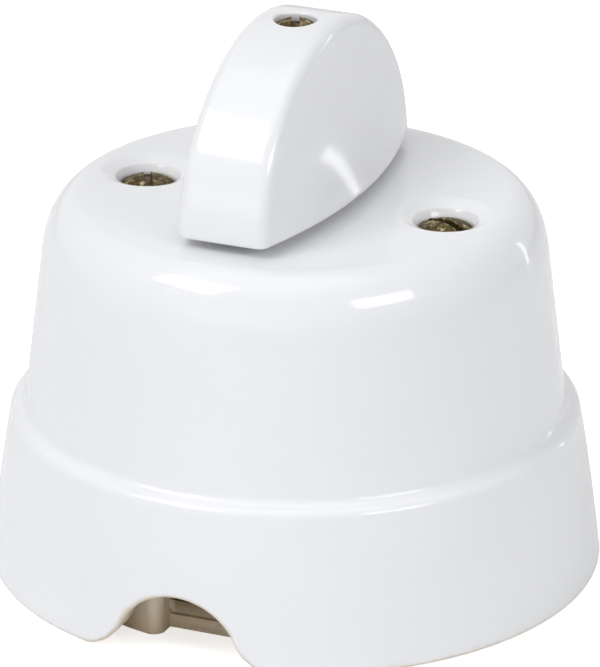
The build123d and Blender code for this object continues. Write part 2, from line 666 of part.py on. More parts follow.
spindle.part.label = "spindle"
export_step(spindle.part, "parts/spindle.step")

# Thrust washer between collar and plate
with BuildPart() as thrust_washer:
    with BuildSketch(Plane.XY.offset(COLLAR_TOP)):
        Circle(THRUST_WASHER_R)
        Circle(SPINDLE_R + RUN_FIT, mode=Mode.SUBTRACT)
    extrude(amount=THRUST_WASHER_T)
thrust_washer.part.label = "thrust_washer"
export_step(thrust_washer.part, "parts/thrust_washer.step")

# Retaining clip: an open ring that snaps into the spindle's groove
with BuildPart() as retaining_clip:
    with BuildSketch(Plane.XY.offset(CLIP_Z)):
        Circle(CLIP_R)
        Circle(CLIP_GROOVE_R + RUN_FIT, mode=Mode.SUBTRACT)
        with Locations((0, CLIP_R)):
            Rectangle(CLIP_MOUTH, 2 * CLIP_R, mode=Mode.SUBTRACT)
    extrude(amount=CLIP_T)
retaining_clip.part.label = "retaining_clip"
export_step(retaining_clip.part, "parts/retaining_clip.step")

# Contact ring: a slip ring with two lobes standing on it, flush with the drum
with BuildPart() as contact_ring:
    with BuildSketch(Plane.XY.offset(RING_Z)):
        Circle(RING_R)
        Circle(RING_R - RING_T, mode=Mode.SUBTRACT)
    extrude(amount=RING_H)
    with BuildSketch(Plane.XY.offset(LOBE_Z)):
        with BuildLine():
            arc_start = LOBE_ANGLE - LOBE_ARC / 2
            outer = CenterArc((0, 0), RING_R, arc_start, LOBE_ARC)
            inner = CenterArc((0, 0), RING_R - RING_T, arc_start, LOBE_ARC)
            Line(outer @ 0, inner @ 0)
            Line(outer @ 1, inner @ 1)
        lobe = make_face()
        add(lobe, rotation=180)
    extrude(amount=LOBE_H)
contact_ring.part.label = "contact_ring"
export_step(contact_ring.part, "parts/contact_ring.step")

# Rotor: a moulded drum, its metal inlaid flush
with BuildPart() as rotor:
    with BuildSketch(Plane.XY.offset(ROTOR_FOOT)):
        Circle(RING_R)
    extrude(amount=ROTOR_TOP - ROTOR_FOOT)
    add(
        square_bar(SPINDLE_SQUARE + 2 * RUN_FIT, SPINDLE_R + RUN_FIT, ROTOR_FOOT, ROTOR_TOP),
        mode=Mode.SUBTRACT,
    )
    add(contact_ring.part, mode=Mode.SUBTRACT)
rotor.part.label = "rotor"
export_step(rotor.part, "parts/rotor.step")


# Contact leaves: a foot against the terminal, an arm through the block's slot and a nose at the drum
leaf_nose_places = {
    "common": (0, -NOSE_REACH, RING_Z, RING_H, 1),
    "one": (SIDE_NOSE, SIDE_NOSE, LOBE_Z, LOBE_H, 1),
    "two": (-SIDE_NOSE, SIDE_NOSE, LOBE_Z, LOBE_H, -1),
}
for leaf_name, (nose_x, nose_y, band_z, band_h, side) in leaf_nose_places.items():
    end = 1 if nose_y > 0 else -1
    arm_x = nose_x + side * LEAF_NOSE_R
    foot_end_x = terminal_places[leaf_name][0] - side * (TERMINAL_W / 2 - LEAF_FOOT_MARGIN)
    bend_y = end * (LEAF_FOOT_Y - LEAF_BEND_R)
    with BuildPart() as leaf:
        with BuildSketch(Plane.XY.offset(band_z + LEAF_MARGIN)):
            with BuildLine():
                foot = Line((foot_end_x, end * LEAF_FOOT_Y), (arm_x - side * LEAF_BEND_R, end * LEAF_FOOT_Y))
                bend = TangentArc(foot @ 1, (arm_x, bend_y), tangent=(side, 0))
                arm = Line(bend @ 1, (arm_x, nose_y))
                JernArc(arm @ 1, (0, -end), LEAF_NOSE_R, -side * end * 200)
            trace(line_width=LEAF_T)
        extrude(amount=band_h - 2 * LEAF_MARGIN)
    leaf.part.label = f"contact_spring_{leaf_name}"
    export_step(leaf.part, f"parts/contact_spring_{leaf_name}.step")

# Terminals: drilled brass blocks, and the screws that clamp the wires in them
for terminal_name, (x, y) in terminal_places.items():
    outward = 1 if y > 0 else -1
    with BuildPart() as terminal:
        with BuildSketch(Plane.XY.offset(DECK_TOP)):
            with Locations((x, y)):
                Rectangle(TERMINAL_W, TERMINAL_L)
        extrude(amount=TERMINAL_H)
        chamfer(terminal.edges().group_by(Axis.Z)[-1], TURNED_CHAMFER)
        tunnel_plane = Plane(
            origin=(x, y + outward * TERMINAL_L / 2, DECK_TOP + TERMINAL_TUNNEL_Z),
            x_dir=(1, 0, 0),
            z_dir=(0, outward, 0),
        )
        with BuildSketch(tunnel_plane):
            Circle(TERMINAL_TUNNEL_R)
        extrude(amount=-0.8 * TERMINAL_L, mode=Mode.SUBTRACT)
        with BuildSketch(Plane.XY.offset(DECK_TOP + TERMINAL_H)):
            with Locations((x, y)):
                Circle(TERMINAL_SCREW_R + RUN_FIT)
        extrude(amount=TERMINAL_TUNNEL_Z - TERMINAL_H, mode=Mode.SUBTRACT)
    terminal.part.label = f"terminal_{terminal_name}"
    export_step(terminal.part, f"parts/terminal_{terminal_name}.step")

terminal_top = DECK_TOP + TERMINAL_H
terminal_screw_reach = TERMINAL_H - TERMINAL_TUNNEL_Z - TERMINAL_TUNNEL_R / 2
terminal_screw_shape = cheese_screw(
    TERMINAL_SCREW_HEAD_R, TERMINAL_SCREW_HEAD_H, TERMINAL_SCREW_R, terminal_screw_reach, 30
)
with BuildPart() as terminal_screws:
    with Locations([(x, y, terminal_top + RUN_FIT) for x, y in terminal_places.values()]):
        add(terminal_screw_shape)
terminal_screws.part.label = "terminal_screws"
export_step(terminal_screws.part, "parts/terminal_screws.step")

# Screws through plate, block and base, and the hexagon nuts sunk in the underside
through_screw_shape = cheese_screw(
    THROUGH_SCREW_HEAD_R, THROUGH_SCREW_HEAD_H, THROUGH_SCREW_R, PLATE_TOP - SEAT_FIT, 60
)
with BuildPart() as mechanism_screws:
    with Locations([(x, y, PLATE_TOP) for x, y in through_screw_places]):
        add(through_screw_shape)
mechanism_screws.part.label = "mechanism_screws"
export_step(mechanism_screws.part, "parts/mechanism_screws.step")

with BuildPart() as mechanism_nuts:
    with BuildSketch(Plane.XY.offset(NUT_SINK_DEPTH)):
        with Locations(through_screw_places):
            RegularPolygon(NUT_ACROSS_FLATS / 2, 6, major_radius=False)
            Circle(THROUGH_SCREW_R + RUN_FIT, mode=Mode.SUBTRACT)
    extrude(amount=-NUT_T)
mechanism_nuts.part.label = "mechanism_nuts"
export_step(mechanism_nuts.part, "parts/mechanism_nuts.step")
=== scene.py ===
# %% [markdown]
# # A porcelain two-way switch, dressed for its picture
# The solid model holds every true size. This file gives it a camera, light and finishes, and rebuilds the two
# glazed pieces and the slotted screws as smooth surfaces, because a gloss glaze shows every flat facet.

# %% Load the solid model
import json
import math

import bmesh
import bpy
import numpy as np
from mathutils.geometry import tessellate_polygon
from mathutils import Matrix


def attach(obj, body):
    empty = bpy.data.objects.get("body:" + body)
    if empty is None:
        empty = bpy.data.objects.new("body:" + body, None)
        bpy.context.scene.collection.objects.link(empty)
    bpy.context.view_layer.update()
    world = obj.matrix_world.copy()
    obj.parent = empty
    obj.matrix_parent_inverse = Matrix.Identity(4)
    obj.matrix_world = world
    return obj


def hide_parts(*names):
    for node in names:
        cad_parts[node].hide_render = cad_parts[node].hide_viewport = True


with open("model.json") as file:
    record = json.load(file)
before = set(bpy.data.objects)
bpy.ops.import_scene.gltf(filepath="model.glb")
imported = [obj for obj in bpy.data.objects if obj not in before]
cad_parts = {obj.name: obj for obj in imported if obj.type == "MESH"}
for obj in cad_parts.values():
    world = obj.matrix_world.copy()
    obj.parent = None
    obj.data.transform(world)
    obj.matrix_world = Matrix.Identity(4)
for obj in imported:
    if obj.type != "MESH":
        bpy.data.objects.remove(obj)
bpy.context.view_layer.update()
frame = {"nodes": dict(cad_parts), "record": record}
nodes = frame["nodes"]

# %% [markdown]
# ## The camera
# A picture with hardly any perspective was taken from far away with a long lens. The lens is written here as a
# focal length in picture heights, and the small shift only moves the frame so that it cuts the rim as it should.

# %% Camera at the picture's viewing angle
mm = 0.001
picture_wide, picture_high = 600, 667
focal_pixels = 6000.0
lens_axis_column = 295.53
camera_turn = math.radians(23.0)
camera_dip = 0.388
camera_reach = 586.084 * mm
camera_height = 264.177 * mm

lens = bpy.data.cameras.new("picture_camera")
lens.sensor_width = 36.0
lens.lens = lens.sensor_width * focal_pixels / picture_high
lens.shift_x = (picture_wide / 2 - lens_axis_column) / picture_high
camera = bpy.data.objects.new("picture_camera", lens)
camera.location = (
    camera_reach * math.sin(camera_turn),
    -camera_reach * math.cos(camera_turn),
    camera_height,
)
camera.rotation_euler = (math.pi / 2 - camera_dip, 0.0, camera_turn)
bpy.context.scene.collection.objects.link(camera)
bpy.context.scene.camera = camera
print("lens", round(lens.lens, 1), "mm, shift", round(lens.shift_x, 4))

# %% [markdown]
# ## From arrays to a mesh
# Every new piece below is worked out as arrays of points. A grid of points needs only its row and column counts to
# know its faces, so the faces are made the same way each time, and patches that share an edge are welded there.

# %% Faces of a grid, and one mesh from several patches
def grid_faces(rows, columns, closed=False):
    """Quads of a rows x columns grid: each joins a point, its right neighbour and the two in the next row."""
    index = np.arange(rows * columns).reshape(rows, columns)
    right = np.roll(index, -1, axis=1) if closed else index[:, 1:]
    left = index if closed else index[:, :-1]
    return np.stack([left[:-1], right[:-1], right[1:], left[1:]], axis=-1).reshape(-1, 4)


def flat_faces(rim, holes):
    """Triangles that fill a flat outline with holes in it, as indices into the outlines' points put end to end."""
    return np.array(tessellate_polygon([rim, *holes]), int).reshape(-1, 3)


def mesh_from(name, patches, weld=0.002 * mm, crease_deg=38.0):
    """One smooth object from (points, faces) patches: near points are welded, and edges sharper than the crease
    angle stay sharp."""
    points, starts, corners, offset = [], [], [], 0
    for patch_points, faces in patches:
        points.append(patch_points.reshape(-1, 3))
        corners.append((faces + offset).ravel())
        starts.append(np.full(len(faces), faces.shape[1]))
        offset += len(points[-1])
    points, corners, sizes = np.concatenate(points), np.concatenate(corners), np.concatenate(starts)
    mesh = bpy.data.meshes.new(name)
    mesh.vertices.add(len(points))
    mesh.vertices.foreach_set("co", points.astype(np.float32).ravel())
    mesh.loops.add(len(corners))
    mesh.loops.foreach_set("vertex_index", corners.astype(np.int32))
    mesh.polygons.add(len(sizes))
    mesh.polygons.foreach_set("loop_start", np.concatenate([[0], np.cumsum(sizes)[:-1]]).astype(np.int32))
    mesh.update(calc_edges=True)
    weld_and_turn_out(mesh, weld)
    mesh.shade_smooth()
    mesh.set_sharp_from_angle(angle=math.radians(crease_deg))
    piece = bpy.data.objects.new(name, mesh)
    bpy.context.scene.collection.objects.link(piece)
    print(name, len(mesh.vertices), "points,", len(mesh.polygons), "faces")
    return piece


# %% Weld a mesh and turn its faces outwards
def weld_and_turn_out(mesh, weld):
    """Merges points closer than weld, drops faces left with no area, and points every face outwards."""
    work = bmesh.new()
    work.from_mesh(mesh)
    bmesh.ops.remove_doubles(work, verts=work.verts, dist=weld)
    bmesh.ops.dissolve_degenerate(work, edges=work.edges, dist=weld / 4)
    bmesh.ops.recalc_face_normals(work, faces=work.faces)
    open_edges = sum(edge.is_boundary for edge in work.edges)
    work.to_mesh(mesh)
    work.free()
    print("  open edges after welding:", open_edges)


# %% Read a mesh's points, and write a value on each
def points_of(piece):
    """The x, y and z of a piece's points, in millimetres."""
    co = np.empty(len(piece.data.vertices) * 3, np.float32)
    piece.data.vertices.foreach_get("co", co)
    return co.reshape(-1, 3).T / mm


def mark(piece, name, value):
    """Writes one number on each point, which a finish can read by that name."""
    layer = piece.data.attributes.new(name, "FLOAT", "POINT")
    layer.data.foreach_set("value", value.astype(np.float32))
    print(" ", name, "on", int((value > 0).sum()), "points of", piece.name)


# %% A profile turned round an upright axis
def turned(profile, centre=(0.0, 0.0), steps=64):
    """Each (radius, height) of the profile is carried round a circle about centre: x and y are the centre plus
    the radius times the cosine and sine of the angle."""
    angle = np.linspace(0, 2 * np.pi, steps, endpoint=False)
    radius, height = np.array(profile, float).T
    x = centre[0] + radius[:, None] * np.cos(angle)
    y = centre[1] + radius[:, None] * np.sin(angle)
    z = np.broadcast_to(height[:, None], x.shape)
    return np.stack([x, y, z], axis=-1) * mm, grid_faces(len(profile), steps, closed=True)


def arc(centre, radius, start_deg, end_deg, count):
    """Points on a circle in the (radius, height) plane, from one angle to the other."""
    angle = np.radians(np.linspace(start_deg, end_deg, count))
    return np.stack([centre[0] + radius * np.cos(angle), centre[1] + radius * np.sin(angle)], axis=-1)


def bezier(points, count):
    """A cubic curve through its first and last point, leaving and arriving along its two handles."""
    t = np.linspace(0, 1, count)[:, None]
    a, b, c, d = np.array(points, float)
    return (1 - t) ** 3 * a + 3 * (1 - t) ** 2 * t * b + 3 * (1 - t) * t**2 * c + t**3 * d


# %% [markdown]
# ## The cover
# The real cover is pressed and turned in porcelain: a bowed skirt, a small ledge, a leaning wall and a soft shoulder
# into a flat crown. Turning one profile round the axis would do, but for the cable notch. Cutting the notch with a
# Boolean leaves ragged shading on gloss, so the rim of each column of the grid simply climbs over the notch.

# %% Sizes of the cover, in millimetres
rim_r, skirt_h, skirt_lean, skirt_bow = 32.545, 17.4, 2.48, 0.16
skirt_top_r = rim_r - skirt_lean
lip_r, ledge_w, ledge_fillet_r = 1.1, 1.4, 1.0
wall_foot_r, wall_lean = skirt_top_r - ledge_w, 2.07
wall_head_r = wall_foot_r - wall_lean
cover_h, shoulder_h, shoulder_w, pull = 40.65, 5.95, 4.4, 0.55
crown_r = wall_head_r - shoulder_w
porcelain_t, arris_r, ceiling_fillet_r = 3.1, 0.5, 2.6
notch_r, notch_z, flare_r, flare_sink = 7.0, 0.15, 5.5, 0.05
screw_x, spindle_hole_r = 16.9, 4.4


# %% The outline of the cable notch
flare_z = flare_r - flare_sink
flare_x = math.sqrt((notch_r + flare_r) ** 2 - (flare_z - notch_z) ** 2)
meet_x = flare_x * notch_r / (notch_r + flare_r)
mouth_x = flare_x - math.sqrt(flare_r**2 - flare_z**2)


def notch_height(x):
    """Height of the notch's edge over a point of the rim: a circle in the middle, a flare that leans outwards at
    each side, and nothing beyond the mouth."""
    x = np.abs(x)
    middle = notch_z + np.sqrt(np.clip(notch_r**2 - x**2, 0, None))
    side = flare_z - np.sqrt(np.clip(flare_r**2 - (x - flare_x) ** 2, 0, None))
    return np.where(x < meet_x, middle, np.where(x < mouth_x, side, 0.0))


def edge_stretch(x, front, step=0.05, steepest=2.2):
    """How long the notch's edge is for each millimetre across: the square root of 1 plus the square of its slope,
    which counts up to steepest. It is 1 at the back, where there is no notch."""
    slope = (notch_height(x + step) - notch_height(x - step)) / (2 * step)
    return np.where(front, np.sqrt(1 + np.clip(slope, -steepest, steepest) ** 2), 1.0)


print("notch", round(float(notch_height(0.0)), 2), "mm high,", round(2 * mouth_x, 2), "mm wide")


# %% Columns of the cover's grid, closer together over the notch
def cover_angles(fine_deg=21, step_deg=0.35):
    """Angles about the axis, measured from the notch's middle: a small step apart over the notch, and one degree
    apart elsewhere."""
    over_notch = np.radians(np.arange(-fine_deg, fine_deg, step_deg))
    elsewhere = np.radians(np.linspace(fine_deg, 360 - fine_deg, 360 - 2 * fine_deg, endpoint=False))
    return np.concatenate([over_notch, elsewhere])


def skirt_radius(z):
    """The skirt narrows evenly with height and bows out a little at half height."""
    share = z / skirt_h
    return rim_r - skirt_lean * share + 4 * skirt_bow * share * (1 - share)


def inner_radius(z):
    """The inside of the skirt: straight, one porcelain thickness in from the outside."""
    return np.interp(z, [0.0, skirt_h - porcelain_t], [rim_r - porcelain_t, skirt_top_r - porcelain_t])


# %% The ledge: a hollow root and a round lip that touch
wall_slope = (wall_foot_r - wall_head_r) / (cover_h - shoulder_h - skirt_h)
skirt_slope = (skirt_lean + 4 * skirt_bow) / skirt_h


def ledge_arcs():
    """The ledge is too narrow for a flat between its two rounds. The lip's circle touches the skirt and the ledge's
    plane, the root's circle touches the wall, and the distance of their centres is the sum of both radii."""
    lip_x = skirt_top_r + skirt_slope * lip_r - lip_r * math.hypot(1, skirt_slope)
    off = wall_foot_r + ledge_fillet_r * math.hypot(1, wall_slope) - lip_x
    square, half = 1 + wall_slope**2, lip_r - wall_slope * off
    rest = off**2 + lip_r**2 - (lip_r + ledge_fillet_r) ** 2
    height = (math.sqrt(half**2 - square * rest) - half) / square
    root_x = lip_x + off - wall_slope * height
    touch = math.degrees(math.atan2(height + lip_r, root_x - lip_x))
    wall_deg, skirt_deg = (math.degrees(math.atan(slope)) for slope in (wall_slope, skirt_slope))
    root = arc((root_x, skirt_h + height), ledge_fillet_r, 180 + wall_deg, 180 + touch, 14)
    lip = arc((lip_x, skirt_h - lip_r), lip_r, touch, skirt_deg, 16)
    return root, lip


# %% The cover's outside above the skirt, as a profile
def upper_profile():
    """(radius, height) from the flat crown over the shoulder, down the wall, round the ledge to the lip's foot."""
    shoulder = bezier(
        [
            (crown_r, cover_h),
            (crown_r + pull * shoulder_w, cover_h),
            (wall_head_r - wall_slope * pull * shoulder_h, cover_h - shoulder_h * (1 - pull)),
            (wall_head_r, cover_h - shoulder_h),
        ],
        34,
    )
    root, lip = ledge_arcs()
    wall = np.linspace(shoulder[-1], root[0], 8)[1:-1]
    return np.concatenate([shoulder, wall, root, lip[1:]])


upper = upper_profile()
print("profile", len(upper), "rows above the skirt")


# %% The cover's skirt, its rounded arris and its inside, column by column
def edge_over(angle, radius):
    """Height of the rim's edge at a place given by angle and radius: the notch is in the front half only."""
    return np.where(np.cos(angle) > 0, notch_height(radius * np.sin(angle)), 0.0)


def notch_section(angle, radius_of, climb=24):
    """Height of the notch's edge in each column. The edge lies where the column's radius at that height meets it,
    found by putting the height back into the radius until it stays."""
    z = np.zeros_like(angle)
    for _ in range(climb):
        z = 0.5 * (z + edge_over(angle, radius_of(z)))
    return z


def lower_rows(angle):
    """Radius and height, rows by columns: down the skirt to the arris, round it, across the foot and up inside.
    The arris is as round across the notch's edge as elsewhere, so its height grows where the edge is steep."""
    outer_z = notch_section(angle, skirt_radius)
    inner_z = notch_section(angle, inner_radius)
    tall = arris_r * edge_stretch(skirt_radius(outer_z) * np.sin(angle), np.cos(angle) > 0)
    top = upper[-1, 1]
    share = np.linspace(0, 1, 26)[1:, None] ** 0.85
    z_skirt = top + share * (outer_z + tall - top)
    r_skirt = skirt_radius(z_skirt)
    turn = np.radians(np.linspace(0, 90, 8))[1:, None]
    r_arris = skirt_radius(outer_z + tall) - arris_r * (1 - np.cos(turn))
    z_arris = edge_over(angle, r_arris) + tall * (1 - np.sin(turn))
    foot = np.linspace(0, 1, 6)[1:, None]
    r_foot = r_arris[-1] + foot * (inner_radius(inner_z) - r_arris[-1])
    z_foot = edge_over(angle, r_foot)
    up = np.linspace(0, 1, 10)[1:, None]
    z_inside = z_foot[-1] + up * (skirt_h - porcelain_t - z_foot[-1])
    r_inside = inner_radius(z_inside)
    return (
        np.concatenate([r_skirt, r_arris, r_foot, r_inside]),
        np.concatenate([z_skirt, z_arris, z_foot, z_inside]),
    )


# %% The dished wells of the two cover screws
well_r, well_lip_r, well_mouth_r = 3.0, 3.45, 5.2
dish_deep, cone_deep, well_deep, lip_drop = 0.65, 0.75, 2.2, 0.2
screw_hole_r, boss_r, boss_h, boss_let_in = 1.85, 4.8, 2.1, 0.6
ceiling_z = cover_h - porcelain_t


def screw_well(x):
    """Profile turned round the screw, from the flat crown down: a soft dish, a rounded lip, a steep cone, the well
    with its seat, and the hole that ends at the ceiling."""
    dish_w = well_mouth_r - well_lip_r
    lip_z = cover_h - dish_deep
    dish = bezier(
        [
            (well_mouth_r, cover_h),
            (well_mouth_r - 0.25 * dish_w, cover_h),
            (well_lip_r + 0.3 * dish_w, cover_h - 0.66 * dish_deep),
            (well_lip_r, lip_z),
        ],
        24,
    )[:-2]
    lip_foot = (well_lip_r + lip_drop * (well_r - well_lip_r) / cone_deep, lip_z - lip_drop)
    lip = bezier([dish[-1], (well_lip_r, lip_z), (well_lip_r, lip_z), lip_foot], 8)
    cone_foot = lip_z - cone_deep
    profile = [*dish, *lip[1:], (well_r + 0.03, cone_foot + 0.06), (well_r, cone_foot - 0.05)]
    profile += [(well_r, cover_h - well_deep), (screw_hole_r, cover_h - well_deep), (screw_hole_r, ceiling_z)]
    return turned(profile, (x, 0.0), 72)


def screw_boss(x):
    """A ring hanging from the ceiling round the screw's hole, let into the ceiling a little."""
    foot, head = ceiling_z - boss_h, ceiling_z + boss_let_in
    ring = [(screw_hole_r, foot), (boss_r, foot), (boss_r, head), (screw_hole_r, head), (screw_hole_r, foot)]
    return turned(ring, (x, 0.0), 48)


# %% Build the cover
def build_cover():
    """Sweeps the profile round, then fills the flat crown and ceiling between the rims of the wells."""
    angle = cover_angles()
    low_r, low_z = lower_rows(angle)
    fillet_centre = (wall_head_r - porcelain_t - ceiling_fillet_r, ceiling_z - ceiling_fillet_r)
    fillet = arc(fillet_centre, ceiling_fillet_r, 6, 90, 8)
    inside = np.concatenate([[(wall_foot_r - porcelain_t, skirt_h + lip_r)], fillet])
    wide = np.ones(len(angle))
    radius = np.concatenate([upper[:, :1] * wide, low_r, inside[:, :1] * wide])
    height = np.concatenate([upper[:, 1:] * wide, low_z, inside[:, 1:] * wide])
    sweep = np.stack([radius * np.sin(angle), -radius * np.cos(angle), height], axis=-1) * mm
    patches = [(sweep, grid_faces(*radius.shape, closed=True))]
    wells = [screw_well(x) for x in (-screw_x, screw_x)]
    hole = turned([(spindle_hole_r, cover_h), (spindle_hole_r, ceiling_z)], steps=48)
    crown_row, ceiling_row = 0, -1
    for row in (crown_row, ceiling_row):
        holes = [shape[0][row] for shape in (*wells, hole)]
        patches.append((np.concatenate([sweep[row], *holes]), flat_faces(sweep[row], holes)))
    return mesh_from("porcelain_cover", [*patches, *wells, hole, *[screw_boss(x) for x in (-screw_x, screw_x)]])


cover = build_cover()

# %% [markdown]
# Fired glaze draws back from arrises, and the cream body shows through it there. Where that happens is worked out
# on the points of the mesh, because no pattern in space would follow the notch's edge.

# %% Mark where the cover's glaze runs thin
bare_h, fade_h = 0.12, 0.55
lip_value, lip_half_w, lip_reach = 0.45, 0.2, 1.2
unglazed_in = 1.3


def thin_glaze(piece):
    """A point's value is 1 up to bare_h above the rim's edge and fades to 0 over the next fade_h. It rises to
    lip_value on the lips of the screw wells, and is 1 on the cover's inside, where nothing was glazed."""
    x, y, z = points_of(piece)
    front = (y < 0) & (np.abs(x) < mouth_x + 1)
    above = (z - np.where(front, notch_height(x), 0.0)) / edge_stretch(x, front)
    on_edge = np.clip(1 - (above - bare_h) / fade_h, 0, 1)
    outside = upper[::-1]
    outer = np.where(z < outside[0, 1], skirt_radius(z), np.interp(z, outside[:, 1], outside[:, 0]))
    inner = (np.hypot(x, y) < outer - unglazed_in) & (z < ceiling_z + 0.01)
    from_lip = np.abs(np.hypot(np.abs(x) - screw_x, y) - well_lip_r)
    on_lip = lip_value * np.clip(1 - from_lip / lip_half_w, 0, 1) * (z > cover_h - lip_reach)
    mark(piece, "thin_glaze", np.maximum(np.where(inner, 1.0, on_edge), on_lip))


thin_glaze(cover)
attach(cover, "housing")
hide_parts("cover")

# %% [markdown]
# ## The knob
# The knob is an arched bar: seen from the side it is half an ellipse, and its flanks swell out at the foot into a
# hub. A subdivided box would round its arch edge unevenly. Here one parameter runs along the ellipse and the other
# across it, from flank to flank, so the rounded edge keeps the same radius all the way.

# %% Sizes of the knob, in millimetres
knob_foot, knob_half, knob_h = 41.7, 19.65, 18.15
knob_half_w, knob_flare, knob_flare_h = 4.7, 3.2, 14.5
arch_edge_r, foot_edge_r = 1.4, 0.45
knob_well_r, knob_well_deep, knob_lip_r, crown_patch_half = 2.2, 2.1, 0.35, 4.0
knob_web, socket_r, knob_hole_r = 4.5, 3.1, 1.42
least_rise, past_lip = 0.02, (0.5, 0.7)


# %% Half width of the knob at a place on its flank
def flank(y, z):
    """The flare dies out with the square of the height. Seen from above each side is a shallow circular arc,
    whose rise is the flare."""
    share = np.clip((z - knob_foot) / knob_flare_h, 0, 1)
    rise = least_rise + (knob_flare - least_rise) * (1 - share) ** 2
    bend_r = (knob_half**2 + rise**2) / (2 * rise)
    return knob_half_w + np.sqrt(np.clip(bend_r**2 - y**2, 0, None)) - (bend_r - rise)


def ellipse(turn):
    """Place and outward direction on the arch, for an angle of 0 at the front foot and pi at the back foot."""
    y, z = -knob_half * np.cos(turn), knob_foot + knob_h * np.sin(turn)
    out = np.stack([-np.cos(turn) / knob_half, np.sin(turn) / knob_h], axis=-1)
    return y, z, out / np.linalg.norm(out, axis=-1, keepdims=True)


print("knob half width at its foot", round(float(flank(0.0, knob_foot)), 2), "mm")


# %% One side of the knob: its flank and the rounded arch edge
def knob_rows(turn):
    """The right side: rows along the arch, columns from the foot up the flank and round the edge to the strip."""
    y, z, out = ellipse(turn)
    edge_y, edge_z = y - arch_edge_r * out[:, 0], z - arch_edge_r * out[:, 1]
    edge_z = np.maximum(edge_z, knob_foot)
    up = np.linspace(0, 1, 30) ** 1.5
    column_z = knob_foot + up[None] * (edge_z - knob_foot)[:, None]
    column_y = np.broadcast_to(edge_y[:, None], column_z.shape)
    column_x = flank(column_y, column_z)
    bend = np.radians(np.linspace(0, 90, 10))[1:]
    corner_x = (column_x[:, -1] - arch_edge_r)[:, None]
    round_x = corner_x + arch_edge_r * np.cos(bend)
    reach = arch_edge_r * np.sin(bend)
    round_y = edge_y[:, None] + reach * out[:, :1]
    round_z = edge_z[:, None] + reach * out[:, 1:]
    columns = ((column_x, round_x), (column_y, round_y), (column_z, np.maximum(round_z, knob_foot)))
    return np.stack([np.concatenate(pair, axis=1) for pair in columns], axis=-1)


# %% Soften the knob's foot edge
def soften_foot(points):
    """Near the foot every point moves in towards the knob's long middle by what a quarter round would take away."""
    x, y, z = points[..., 0], points[..., 1], points[..., 2]
    low = np.clip(foot_edge_r - (z - knob_foot), 0, foot_edge_r)
    take = foot_edge_r - np.sqrt(foot_edge_r**2 - low**2)
    end = np.clip((np.abs(y) - (knob_half - arch_edge_r)) / arch_edge_r, 0, 1)
    side = np.clip((np.abs(x) - (knob_half_w - arch_edge_r)) / arch_edge_r, 0, 1)
    across = np.where(end > 0, side, 1.0)
    length = np.maximum(np.hypot(across, end), 1e-6)
    moved = points.copy()
    moved[..., 0] -= np.sign(x) * take * across / length * (np.abs(x) > 1.0)
    moved[..., 1] -= np.sign(y) * take * end / length
    return moved


# %% [markdown]
# The screw's well opens in the crown of the arch. A ring of points round the well is joined, ray by ray, to the
# rectangle left open in the crown strip, and each point takes its height from the arch, so the patch has no seam.

# %% The crown of the knob round its screw well
def crown_ring(rows_y, strip_x, count_across):
    """Points round the open rectangle, in order, starting at one corner."""
    across = np.linspace(-1, 1, count_across)
    first, last = rows_y[0], rows_y[-1]
    front = np.stack([across * strip_x[0], np.full(count_across, first)], axis=-1)
    right = np.stack([strip_x[1:-1], rows_y[1:-1]], axis=-1)
    back = np.stack([-across * strip_x[-1], np.full(count_across, last)], axis=-1)
    left = np.stack([-strip_x[1:-1][::-1], rows_y[1:-1][::-1]], axis=-1)
    return np.concatenate([front, right, back, left])


def arch_height(y):
    """Height of the arch over a place along the knob."""
    return knob_foot + knob_h * np.sqrt(np.clip(1 - (y / knob_half) ** 2, 0, 1))


def crown_patch(ring):
    """Rays from the well's floor up its wall, over a lip that is a quarter circle, and out to the ring. Points
    outside the lip lie on the arch itself, the first two close by, which keeps the lip's shading to the lip."""
    direction = np.arctan2(ring[:, 1], ring[:, 0])
    start = np.stack([np.cos(direction), np.sin(direction)], axis=-1)
    quarter = np.radians(np.linspace(0, 90, 8))
    out = [*(knob_lip_r * (1 - np.cos(quarter))), *past_lip]
    rings = [start * (knob_well_r + step) for step in out]
    last = rings[-1]
    rings += [last + share * (ring - last) for share in np.linspace(0, 1, 6)[1:]]
    plan = np.stack(rings)
    drop = np.zeros(len(rings))
    drop[: len(quarter)] = knob_lip_r * (1 - np.sin(quarter))
    top = np.concatenate([plan, (arch_height(plan[..., 1]) - drop[:, None])[..., None]], axis=-1)
    floor = np.concatenate([plan[0], np.full((len(ring), 1), knob_foot + knob_h - knob_well_deep)], axis=1)
    return np.concatenate([floor[None], top])


# %% Build the knob
def knob_turns():
    """Angles along the arch: closer together at the feet, and with a row on each side of the well's patch."""
    patch = math.asin(crown_patch_half / knob_half)
    foot = np.array([0.0, 0.006, 0.012, 0.018, 0.025])
    front = np.concatenate([foot, np.linspace(0.045, np.pi / 2 - patch, 46)[:-1]])
    middle = np.linspace(np.pi / 2 - patch, np.pi / 2 + patch, 25)
    return front, middle, np.pi - front[::-1]


def circle(radius, height, steps=32):
    """Points on a level circle round the knob's axis."""
    angle = np.linspace(0, 2 * np.pi, steps, endpoint=False)
    return np.stack([radius * np.cos(angle), radius * np.sin(angle), np.full(steps, height)], -1)


def crown_strip(edge, across):
    """The strip between the two arch edges: each row runs level from one edge to the other."""
    x = edge[:, :1] * across
    return np.stack([x, np.broadcast_to(edge[:, 1:2], x.shape), np.broadcast_to(edge[:, 2:], x.shape)], axis=-1)


